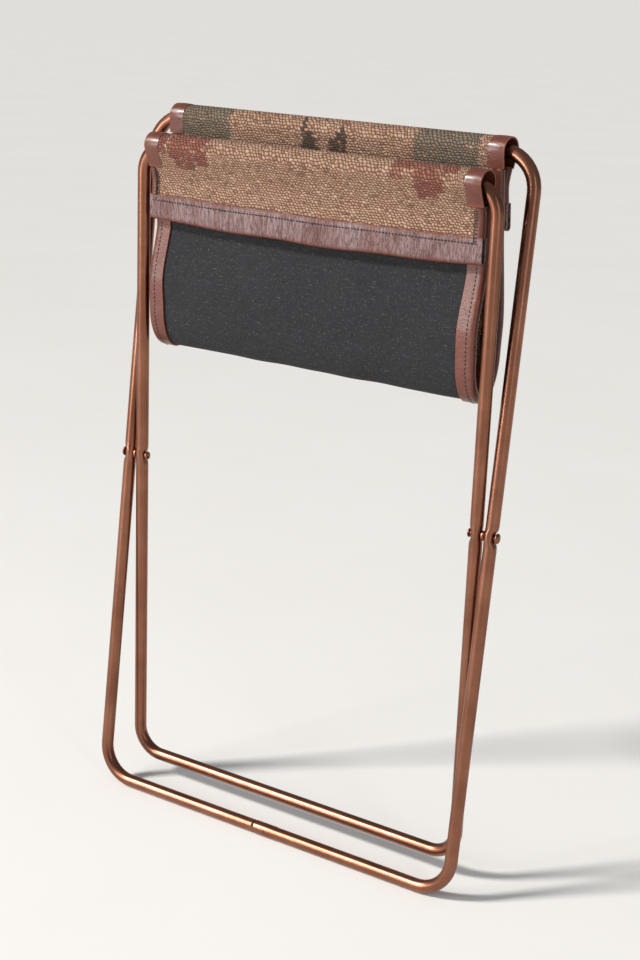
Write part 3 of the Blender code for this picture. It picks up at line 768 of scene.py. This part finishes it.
def on_path(x, s, off):
    """World points at widths x, lengths s and distances off the path on the kilim's side."""
    base = PATH.at(s)
    side = PATH.side(s)
    placed = base + side * np.asarray(off)[..., None]
    return np.stack((x, placed[..., 0], placed[..., 1]), axis=-1)


def thicken(piece, thickness, crease=50):
    solid = piece.modifiers.new("thickness", "SOLIDIFY")
    solid.thickness = thickness
    solid.offset = 0.0
    solid.use_even_offset = False
    apply_modifiers(piece)
    smooth_shade(piece, crease)


def mark_raw_edges(piece, rule):
    """Stores how much each vertex belongs to a cut edge, from 0 to 1."""
    points = flat_points(piece)
    values = np.clip(rule(points), 0, 1).astype(np.float32)
    attribute = piece.data.attributes.new("raw_edge", "FLOAT", "POINT")
    attribute.data.foreach_set("value", values)


def hem_drops(half, x):
    """How far the hem's top and bottom edges are below the bar: the flap sags between its ends."""
    share = 1 - (np.abs(x) / LEATHER_HALF) ** 2
    ripple = 0.7 * MM * np.sin(x * 62.0 + half["ripple"]) * share
    top, bottom = (ends + (middle - ends) * share for ends, middle in (HEM_TOP, HEM_BOTTOM))
    return top + 0.4 * ripple, bottom + ripple


def cloth_off(x, s):
    """Small rise and fall of the cloth, none at the sides where leather holds it."""
    held = 1 - (np.abs(x) / CLOTH_HALF) ** 6
    from_bar = np.minimum(abs(s - FRONT_CROWN), abs(s - BACK_CROWN))
    free = np.clip((from_bar - NEAR_BAR) / (30 * MM), 0, 1)
    return wave(x, s) * 0.6 * MM * held * free


def flap_lift(x, s):
    """The flaps stand off a little more in their middle than at their ends."""
    along = sum(np.clip((half["out"] * (s - half["crown"]) - NEAR_BAR) / (40 * MM), 0, 1)
                for half in (FRONT, BACK))
    return along * (1 - (x / LEATHER_HALF) ** 2) * 0.9 * MM


def cloth(name, finish, inside, outside, columns, rows, replaces):
    """One cloth of the sling, from inside one hem, over both bars, to inside the other."""
    width = 2 * CLOTH_HALF
    piece, x, share = sheet_grid(width, columns, rows)
    front_end, back_end = (depth_to_length(half, CLOTH_DROP) for half in (FRONT, BACK))
    length = back_end - front_end
    s = front_end + share * length
    sleeve = 20 * MM
    under = np.zeros(len(s), bool)
    for half, end in ((FRONT, front_end), (BACK, back_end)):
        out, crown = half["out"], half["crown"]
        reach = np.clip((out * (s - crown) - sleeve) / (out * (end - crown) - sleeve), 0, 1)
        s = s + out * reach * (hem_drops(half, x)[1] - 1.8 * MM - CLOTH_DROP)
    # Under the leather caps the sleeve is cut narrower.
    for half in (FRONT, BACK):
        tails = [depth_to_length(half, half["cap_hang"] - 1.2 * MM, part) for part in ("panel", "flap")]
        under |= (s > min(tails)) & (s < max(tails))
    narrow = np.where(under, (CAP_INNER + 1.5 * MM) / CLOTH_HALF, 1.0)
    edge = np.clip((np.abs(x) - 0.85 * CLOTH_HALF) / (0.15 * CLOTH_HALF), 0, 1)
    off = cloth_off(x, s) + flap_lift(x, s) + (inside + outside) / 2
    lay(piece, on_path(x * (1 + (narrow - 1) * edge), s, off))
    scale_uv(piece, width, length, front_end)
    thicken(piece, outside - inside, 60)
    return finished(piece, name, finish, "sling", replaces), (width, length)


def fold_over(share, flat):
    """A strip folded round a cloth's edge, flat for this length on each side. For shares 0 to 1 of its
    section: how far it reaches past the fold's centre, and how far it is off the path. Last, its length."""
    arc = math.pi * FOLD_R
    total = 2 * flat + arc
    d = share * total
    angle = np.clip((d - flat) / FOLD_R, 0, math.pi)
    reach = FOLD_R * np.sin(angle) + np.minimum(d - flat, 0) + np.minimum(flat + arc - d, 0)
    return reach, FOLD_OFF + FOLD_R * np.cos(angle), total


def side_fold(side, width, share):
    """A strip of this width folded round the sling's side: x, off and its full length."""
    reach, off, total = fold_over(share, width - LEATHER_T / 2 - FOLD_R)
    return side * (LEATHER_HALF - LEATHER_T / 2 - FOLD_R + reach), off, total


def binding(side, label, finish):
    """Leather folded over the panel's side edge, from under one cap, round the bottom, to the other."""
    start, end = (depth_to_length(half, half["cap_hang"] + 1.0 * MM, "panel") for half in (FRONT, BACK))
    piece, across, along = sheet_grid(1.0, 34, 150)
    s = start + along * (end - start)
    x, off, total = side_fold(side, BINDING_WIDTH, across + 0.5)
    x = x + side * 0.35 * MM * np.sin(s * 75.0 + side) * (np.abs(x) < LEATHER_HALF - 4 * MM)
    lay(piece, on_path(x, s, off + cloth_off(x, s) * 0.6))
    scale_uv(piece, total, end - start)
    thicken(piece, LEATHER_T * PRESSED)
    inner = LEATHER_HALF - BINDING_WIDTH
    mark_raw_edges(piece, lambda p: (inner + 0.7 * MM - np.abs(p[:, 0])) / (0.5 * MM))
    return finished(piece, f"binding_{label}", finish, "sling",
                    [f"front_binding_{label}", f"back_binding_{label}"])


def on_flap(half, depth):
    """Length of the path at a depth below the bar, counted along the flap from its bottom."""
    return depth_to_length(half, FLAP_DROP) + half["out"] * (depth - FLAP_DROP)


def hem(half, finish):
    """Leather folded over the flap's bottom edge, its face creased and its lower edge sagging."""
    piece, x, share = sheet_grid(2 * LEATHER_HALF, 200, 26)
    top, bottom = hem_drops(half, x)
    reach, off, _ = fold_over(share, bottom - top - FOLD_R)
    s = on_flap(half, bottom - FOLD_R + reach)
    pinch = 0.25 * MM * np.sin(x * 330.0 + 2.0 * np.sin(x * 71.0)) * np.clip(off / LEATHER_OUT, 0, 1)
    lay(piece, on_path(x, s, off + flap_lift(x, s) + pinch * 0.6 + cloth_off(x, s)))
    scale_uv(piece, 2 * LEATHER_HALF, HEM_LENGTH)
    thicken(piece, LEATHER_T * PRESSED)

    def rule(p):
        high, low = hem_drops(half, p[:, 0])
        depth = half["bar"].z - p[:, 2]
        return np.maximum((high + 0.5 * MM - depth) / (0.5 * MM), (depth - low + 2.2 * MM) / (1.2 * MM))

    mark_raw_edges(piece, rule)
    label = half["label"]
    return finished(piece, f"{label}_hem_leather", finish, f"sling_{label}", [f"{label}_hem"])


def cap(half, side, label, finish):
    """Leather tab folded over the bar at the sleeve's end."""
    hang = half["cap_hang"]
    low, high = sorted(depth_to_length(half, hang, part) for part in ("flap", "panel"))
    width = LEATHER_HALF - CAP_INNER
    piece, across, along = sheet_grid(1.0, 12, 60)
    s = low + along * (high - low)
    bow = 0.3 * MM * np.sin((across + 0.5) * math.pi)
    off = KILIM_SIDE - LEATHER_T / 2 + 0.3 * MM + bow + 0.15 * MM * np.sin(s * 260.0 + side)
    lay(piece, on_path(side * (CAP_INNER + (across + 0.5) * width), s, off))
    if side < 0:
        take(piece)
        bpy.ops.object.mode_set(mode="EDIT")
        bpy.ops.mesh.select_all(action="SELECT")
        bpy.ops.mesh.flip_normals()
        bpy.ops.object.mode_set(mode="OBJECT")
    scale_uv(piece, width, high - low)
    thicken(piece, LEATHER_T)
    tail = half["bar"].z - hang + 0.8 * MM
    mark_raw_edges(piece, lambda p: np.maximum((tail - p[:, 2]) / (0.6 * MM),
                                               (np.abs(p[:, 0]) - LEATHER_HALF + 0.25 * MM) / (0.3 * MM)))
    node = f"{half['label']}_cap_{label}"
    return finished(piece, f"{node}_leather", finish, f"sling_{half['label']}", [node])


def flap_edge(half, side, label, finish):
    """Narrow leather strip down the flap's side edge, between cap and hem."""
    start = depth_to_length(half, half["cap_hang"] + 0.6 * MM)
    end = depth_to_length(half, HEM_TOP[0] + 1.0 * MM)
    piece, across, along = sheet_grid(1.0, 20, 24)
    s = start + along * (end - start)
    x, off, total = side_fold(side, EDGE_HIGH.x - EDGE_LOW.x, across + 0.5)
    lay(piece, on_path(x, s, off + flap_lift(x, s)))
    scale_uv(piece, total, abs(end - start))
    thicken(piece, LEATHER_T * 0.9)
    mark_raw_edges(piece, lambda p: (EDGE_LOW.x + 0.5 * MM - np.abs(p[:, 0])) / (0.4 * MM))
    node = f"{half['label']}_flap_edge_{label}"
    return finished(piece, f"{node}_leather", finish, f"sling_{half['label']}", [node])


def stitches(name, places, finish, body):
    """Short lengths of thread, one modelled and copied. A place is a point, two directions and two sizes."""
    deselect()
    bpy.ops.mesh.primitive_uv_sphere_add(segments=6, ring_count=4, radius=0.5)
    model = bpy.context.object
    corners = flat_points(model)
    faces = [list(polygon.vertices) for polygon in model.data.polygons]
    bpy.data.objects.remove(model)
    points, polygons = [], []
    for centre, along, outward, length, thick in places:
        along = along / np.linalg.norm(along)
        outward = outward - along * np.dot(along, outward)
        outward = outward / np.linalg.norm(outward)
        across = np.cross(outward, along)
        start = len(points) * len(corners)
        points.append(centre + corners[:, 2:3] * along * length
                      + (corners[:, 0:1] * across + corners[:, 1:2] * outward) * thick)
        polygons += [[start + v for v in face] for face in faces]
    mesh = bpy.data.meshes.new(name)
    mesh.from_pydata(np.concatenate(points).tolist(), [], polygons)
    piece = bpy.data.objects.new(name, mesh)
    bpy.context.scene.collection.objects.link(piece)
    smooth_shade(piece, 180)
    return finished(piece, name, finish, body)


def sewn(x, s, off, length, thick, sideways=False):
    """Places of stitches at widths x, lengths s and distances off the path, along the path or sideways."""
    x, s, off = np.broadcast_arrays(x, s, off)
    points = on_path(x, s, off)
    along = np.tile((1.0, 0.0, 0.0), (len(x), 1)) if sideways else on_path(x, s + 0.5 * MM, off) - points
    outward = np.pad(PATH.side(s), ((0, 0), (1, 0)))
    return [(*place, length * MM, thick * MM) for place in zip(points, along, outward)]


def hem_stitching(half, finish):
    x = np.arange(-LEATHER_HALF + 4 * MM, LEATHER_HALF - 4 * MM, 2.9 * MM)
    s = on_flap(half, hem_drops(half, x)[0] + 4.6 * MM)
    off = LEATHER_FACE + flap_lift(x, s) + cloth_off(x, s)
    return stitches(f"{half['label']}_hem_stitching", sewn(x, s, off, 2.2, 1.35, sideways=True), finish,
                    f"sling_{half['label']}")


def binding_stitching(side, label, finish):
    start, end = (depth_to_length(half, half["cap_hang"] + 8.0 * MM, "panel") for half in (FRONT, BACK))
    s = np.arange(start, end, 3.4 * MM)
    x = side * (LEATHER_HALF - 7.2 * MM)
    lift = cloth_off(x, s) * 0.6
    places = [place for off in (LEATHER_BACK, LEATHER_FACE) for place in sewn(x, s, off + lift, 2.6, 1.0)]
    return stitches(f"binding_{label}_stitching", places, finish, "sling")


def edge_stitching(half, side, label, finish):
    """Cross stitches over the flap's edge strip, and the small ones between them."""
    start = depth_to_length(half, half["cap_hang"] + 3.0 * MM)
    end = depth_to_length(half, HEM_TOP[0] + 3.0 * MM)
    count = 10
    s = np.linspace(start, end, count)
    off = KILIM_SIDE + FIT + LEATHER_T + 0.1 * MM
    places = sewn(side * (EDGE_LOW.x + 1.6 * MM), s, off, 3.6, 1.1, sideways=True)
    places += sewn(side * (EDGE_LOW.x + 0.3 * MM), s + (end - start) / count / 2, off, 2.4, 0.7)
    return stitches(f"{half['label']}_flap_edge_{label}_stitching", places, finish, f"sling_{half['label']}")


# ================================================================ the rack
copper = copper_finish("browned_copper")
rivet_copper = copper_finish("rivet_copper")
kilim = kilim_finish()
canvas = canvas_finish()
hem_leather = leather_finish("hem_leather", crease=1.0)
strip_leather = leather_finish("strip_leather", crease=0.12, creased_along_x=False)
dark_thread = thread_finish("dark_thread", (0.018, 0.009, 0.008))

finished(outer_loop(), "outer_loop", copper, "outer_frame", ["outer_tube"])
finished(inner_loop(), "inner_loop", copper, "inner_frame", ["inner_tube"])
pivots(rivet_copper)
for node_name in ("inner_spigot", "socket_pin"):
    frame["nodes"][node_name].data.materials.clear()
    frame["nodes"][node_name].data.materials.append(rivet_copper)

kilim_piece, kilim_flat = cloth("kilim_cloth", kilim, FIT / 2, KILIM_SIDE, 130, 260,
                                ["front_kilim", "back_kilim"])
canvas_piece, canvas_flat = cloth("canvas_cloth", canvas, -CANVAS_SIDE, -FIT / 2, 110, 220,
                                  ["front_canvas", "back_canvas"])
leather_on_cloth = []
for side_sign, side_label in SIDES_OF_RACK:
    leather_on_cloth += [binding(side_sign, side_label, strip_leather),
                         binding_stitching(side_sign, side_label, dark_thread)]
for which in (FRONT, BACK):
    leather_on_cloth += [hem(which, hem_leather), hem_stitching(which, dark_thread)]
    for side_sign, side_label in SIDES_OF_RACK:
        leather_on_cloth += [cap(which, side_sign, side_label, strip_leather),
                             flap_edge(which, side_sign, side_label, strip_leather),
                             edge_stitching(which, side_sign, side_label, dark_thread)]


# ================================================================ floor, light and camera
FLOOR_SIZE = 600.0
SKY = 0.26              # the grey studio round the rack, as it lights and is reflected
SKY_SEEN = 0.80         # and as it is seen beyond the floor
SUN = 3.45
SUN_TOWARDS = (0.62, 0.62, -0.72)
LIGHTS = [
    ("key", (-1.15, -1.85, 0.80), (0.62, 1.0), 24.0, (1.0, 0.98, 0.97)),
    ("fill", (1.7, -1.0, 0.9), (0.30, 1.3), 4.0, (0.95, 0.97, 1.0)),
]
CAMERA_FROM_PIVOT = Vector((762.3, -1156.7, 422.9)) * MM
CAMERA_TURN = math.radians(32.68)      # to the left of straight back
CAMERA_DOWN = math.radians(16.55)
CAMERA_ROLL = math.radians(2.69)
LENS = 64.41                           # mm, on a 36 mm sensor along the long side


def studio():
    deselect()
    bpy.ops.mesh.primitive_plane_add(size=FLOOR_SIZE, location=(0, 0, min(0.0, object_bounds()[0].z) - 0.1 * MM))
    floor = bpy.context.object
    floor.name = "floor"
    floor.data.materials.append(floor_finish())
    floor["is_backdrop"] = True
    world = bpy.context.scene.world or bpy.data.worlds.new("studio")
    bpy.context.scene.world = world
    air = Finish(world, "Background")
    seen = air.node("ShaderNodeLightPath", output="Is Camera Ray")
    air.surface(Color=(0.93, 0.96, 1.0, 1.0), Strength=seen * (SKY_SEEN - SKY) + SKY)
    sun = bpy.data.lights.new("sun", "SUN")
    sun.energy = SUN
    sun.angle = math.radians(9)
    sun.color = (1.0, 0.975, 0.94)
    lamp = bpy.data.objects.new("sun", sun)
    lamp.rotation_euler = Vector(SUN_TOWARDS).to_track_quat("-Z", "Y").to_euler()
    bpy.context.scene.collection.objects.link(lamp)
    for name, place, size, power, colour in LIGHTS:
        data = bpy.data.lights.new(name, "AREA")
        data.shape = "RECTANGLE"
        data.size, data.size_y = size
        data.energy = power
        data.color = colour
        light = bpy.data.objects.new(name, data)
        light.location = place
        light.rotation_euler = (Vector((0, 0, 0.3)) - Vector(place)).to_track_quat("-Z", "Y").to_euler()
        bpy.context.scene.collection.objects.link(light)


def camera():
    data = bpy.data.cameras.new("camera")
    data.lens = LENS
    data.sensor_width = 36.0
    data.clip_start = 0.05
    data.clip_end = 1000.0
    view = bpy.data.objects.new("camera", data)
    forward = Vector((-math.sin(CAMERA_TURN) * math.cos(CAMERA_DOWN),
                      math.cos(CAMERA_TURN) * math.cos(CAMERA_DOWN), -math.sin(CAMERA_DOWN)))
    right = forward.cross(Vector((0, 0, 1))).normalized()
    up = right.cross(forward)
    level = Matrix((right, up, -forward)).transposed()
    rolled = Matrix.Rotation(CAMERA_ROLL, 3, -forward) @ level
    view.matrix_world = Matrix.Translation(PIVOT + CAMERA_FROM_PIVOT) @ rolled.to_4x4()
    bpy.context.scene.collection.objects.link(view)
    bpy.context.scene.camera = view


studio()
camera()
bpy.context.scene.view_settings.view_transform = "Standard"
